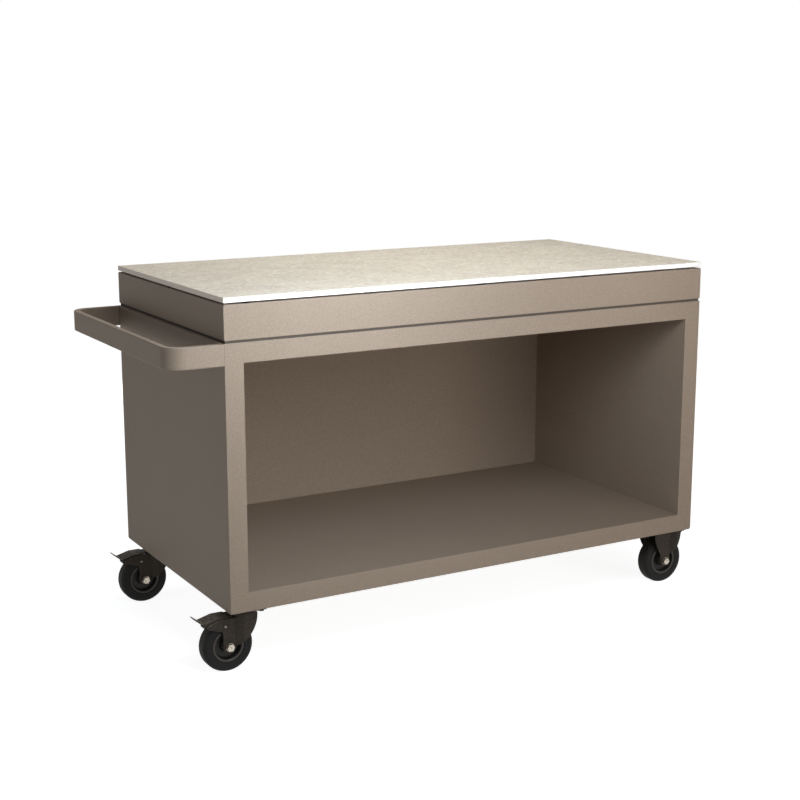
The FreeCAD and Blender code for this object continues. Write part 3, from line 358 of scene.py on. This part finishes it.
DULL_ZINC = zinc_plating("dull_zinc_plated_rivet", "#5d564c", "#857c71")
BLACK_ZINC = zinc_plating("black_zinc_plated_steel", "#26241f", "#3a362f")
AXLE_ZINC = axle_zinc()

SLOT_FINISHES = {
    "bronze_coat": powder_coat(),
    "stone": sintered_stone(),
    "black_strip": dark_powder_coat(),
    "galvanised": galvanised_steel(),
    "zinc_plated": zinc_plating("zinc_plated_steel", "#a3a19b", "#c4c1b9"),
    "castor_black": black_castor_paint(),
    "bearing_steel": bearing_steel(),
    "bush": acetal(),
    "rubber": soft_rubber(),
}

# Parts whose finish differs from that of their slot. The castor bolts and kingpins are plated black.
OWN_FINISHES = {"castor_bolts": BLACK_ZINC, "kingpins": BLACK_ZINC, "rigid_axle_bolts": AXLE_ZINC}
for corner in SWIVEL_CORNERS:
    OWN_FINISHES["axle_bolt_" + corner] = AXLE_ZINC
for side, axle_x in (("left", LEFT_AXLE_X), ("right", RIGHT_AXLE_X)):
    rubber = moulded_rubber("black_rubber_tyre_" + side, axle_x)
    nylon = moulded_nylon("black_nylon_core_" + side, axle_x)
    for end in ("front_", "back_"):
        OWN_FINISHES["tyre_" + end + side] = rubber
        OWN_FINISHES["wheel_core_" + end + side] = nylon


def finish_nodes():
    """Gives every part of the cart its finish."""
    for entry in frame["record"]["subparts"]:
        node = entry["node"]
        finish = OWN_FINISHES.get(node) or SLOT_FINISHES[entry["material_slot"]]
        for slot in cad[node].material_slots:
            slot.material = finish


def new_piece(name, mesh, finish, body):
    """A finished piece that rides on a body."""
    mesh.materials.append(finish)
    for face in mesh.polygons:
        face.use_smooth = True
    piece = bpy.data.objects.new(name, mesh)
    bpy.context.scene.collection.objects.link(piece)
    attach(piece, body)
    return piece


def rivet_head(form, centre, outward):
    """Adds one upset rivet head, a low dome on a short collar. Outward is 1 or -1, along the axle."""
    x, y, z = centre
    loops = []
    for radius, height in RIVET_RINGS:
        loop = []
        for i in range(RIVET_SIDES):
            turn = 2 * math.pi * i / RIVET_SIDES
            at = (x + radius * math.cos(turn), y + outward * height, z + radius * math.sin(turn))
            loop.append(form.verts.new(at))
        loops.append(loop)
    top = form.verts.new((x, y + outward * RIVET_HEIGHT, z))
    for low, high in zip(loops, loops[1:]):
        for i in range(RIVET_SIDES):
            j = (i + 1) % RIVET_SIDES
            form.faces.new((low[i], low[j], high[j], high[i]))
    for i in range(RIVET_SIDES):
        form.faces.new((loops[-1][i], loops[-1][(i + 1) % RIVET_SIDES], top))


def rivet_pedals():
    """The pivots of each brake pedal end in upset heads outside the fork."""
    for corner in SWIVEL_CORNERS:
        low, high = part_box("brake_pedal_" + corner)
        form = bmesh.new()
        for outward in (-1, 1):
            face = low[1] if outward < 0 else high[1]
            rivet_head(form, (LEFT_AXLE_X - PIVOT_BACK, face, PIVOT_HEIGHT), outward)
        bmesh.ops.recalc_face_normals(form, faces=form.faces)
        mesh = bpy.data.meshes.new("pivot_rivets_" + corner)
        form.to_mesh(mesh)
        form.free()
        piece = new_piece("pivot_rivets_" + corner, mesh, DULL_ZINC, "pedal_" + corner)


def lamp(name, place, target, width, height, watts, colour="#ffffff"):
    """A soft box that faces a point: a flat lamp that the camera doesn't see."""
    light = bpy.data.lights.new(name, "AREA")
    light.shape = "RECTANGLE"
    light.size = width
    light.size_y = height
    light.energy = watts
    light.color = linear(colour)[:3]
    thing = bpy.data.objects.new(name, light)
    thing.location = place
    thing.rotation_euler = (Vector(target) - thing.location).to_track_quat("-Z", "Y").to_euler()
    bpy.context.scene.collection.objects.link(thing)
    thing.visible_camera = False


def place_camera():
    """The camera of the photograph: 3.3 m in front of the cart's middle and 1.9 m to the left of it."""
    view = bpy.data.cameras.new("photo_camera")
    view.lens = LENS_MM
    view.sensor_width = FILM_MM
    thing = bpy.data.objects.new("photo_camera", view)
    thing.location = CAMERA_PLACE
    level = math.cos(CAMERA_TILT)
    ahead = Vector((math.sin(CAMERA_TURN) * level, math.cos(CAMERA_TURN) * level, -math.sin(CAMERA_TILT)))
    thing.rotation_euler = ahead.to_track_quat("-Z", "Y").to_euler()
    bpy.context.scene.collection.objects.link(thing)
    bpy.context.scene.camera = thing


def light_room():
    """Soft boxes round the cart and above the slab, and small ones for the glow on the upper front."""
    lamp("front_right_box", (1.2, -3.2, 0.52), (0.2, 0.0, 0.5), 1.6, 0.7, 23.2)
    lamp("front_left_box", (-0.6, -3.6, 0.52), (0.0, 0.0, 0.5), 1.6, 0.7, 7.6)
    lamp("right_box", (1.9, -2.6, 1.2), (0.3, -0.2, 0.5), 1.2, 1.2, 6.9)
    lamp("left_box", (-3.0, -0.3, 0.45), (-0.6, 0.0, 0.5), 2.0, 0.8, 11.4, "#e8f5ff")
    lamp("upper_left_lamp", (-0.45, -1.0, 1.05), (-0.45, -0.34, 0.75), 0.5, 0.3, 5.9, "#e8f4ff")
    lamp("upper_middle_lamp", (-0.35, -0.75, 1.15), (-0.35, -0.34, 0.7), 0.5, 0.2, 1.9, "#dcedff")
    lamp("middle_lamp", (-0.15, -0.72, 1.08), (-0.15, -0.34, 0.7), 0.4, 0.2, 1.0, "#dcedff")
    lamp("upper_right_lamp", (0.5, -0.85, 1.1), (0.6, -0.34, 0.72), 0.4, 0.2, 2.2, "#eef6ff")
    lamp("top_box", (0.1, 0.3, 1.9), (0.1, 0.1, 0.88), 1.4, 0.8, 7.3)
    lamp("top_middle_box", (0.15, -0.1, 2.0), (0.15, -0.1, 0.8), 0.8, 0.5, 4.1)
    lamp("back_box", (1.0, 3.0, 0.5), (0.2, 0.34, 0.5), 1.8, 0.7, 12.0)


def seen_directly(tree):
    """1 for rays from the camera, and for those that gloss or glass sends on, and 0 for the rest."""
    path = add(tree, "ShaderNodeLightPath")
    pair = {0: (path, "Is Camera Ray"), 1: (path, "Is Glossy Ray")}
    two = add(tree, "ShaderNodeMath", {"operation": "ADD"}, pair)
    total = {0: (two, "Value"), 1: (path, "Is Transmission Ray")}
    return add(tree, "ShaderNodeMath", {"operation": "ADD", "use_clamp": True}, total), "Value"


def paint_world():
    """An even grey room that the camera, and gloss, see as white."""
    world = bpy.data.worlds.new("studio_room")
    bpy.context.scene.world = world
    world.use_nodes = True
    tree = world.node_tree
    tree.nodes.clear()
    white = linear("#ffffff")
    seen = add(tree, "ShaderNodeBackground", {"Color": white, "Strength": 1.0})
    room = add(tree, "ShaderNodeBackground", {"Color": white, "Strength": ROOM_LIGHT})
    both = {0: seen_directly(tree), 1: (room, "Background"), 2: (seen, "Background")}
    mix = add(tree, "ShaderNodeMixShader", links=both)
    add(tree, "ShaderNodeOutputWorld", links={"Surface": (mix, "Shader")})


def lay_floor():
    """A white studio floor that keeps the cart's soft shadow, and is seen as pure white away from it."""
    half = FLOOR_HALF_WIDTH
    corners = [(-half, -half, 0), (half, -half, 0), (half, half, 0), (-half, half, 0)]
    mesh = bpy.data.meshes.new("studio_floor")
    mesh.from_pydata(corners, [], [(0, 1, 2, 3)])
    floor = bpy.data.objects.new("studio_floor", mesh)
    bpy.context.scene.collection.objects.link(floor)
    material, tree, place = new_material("studio_floor")
    matt = add(tree, "ShaderNodeBsdfDiffuse", {"Color": linear("#d0d0d0")})
    away = add(tree, "ShaderNodeVectorMath", {"operation": "LENGTH"}, {0: (place, "Object")})
    strength = spread(tree, (away, "Value"), SHADOW_GLOW, WHITE_GLOW, SHADOW_FLOOR, WHITE_FLOOR)
    glow = add(tree, "ShaderNodeEmission", {"Color": linear("#ffffff")}, {"Strength": strength})
    lit = add(tree, "ShaderNodeAddShader", links={0: (matt, "BSDF"), 1: (glow, "Emission")})
    both = {0: seen_directly(tree), 1: (matt, "BSDF"), 2: (lit, "Shader")}
    mix = add(tree, "ShaderNodeMixShader", links=both)
    add(tree, "ShaderNodeOutputMaterial", links={"Surface": (mix, "Shader")})
    mesh.materials.append(material)


place_camera()
finish_nodes()
rivet_pedals()
light_room()
paint_world()
lay_floor()
bpy.context.scene.view_settings.view_transform = "Standard"
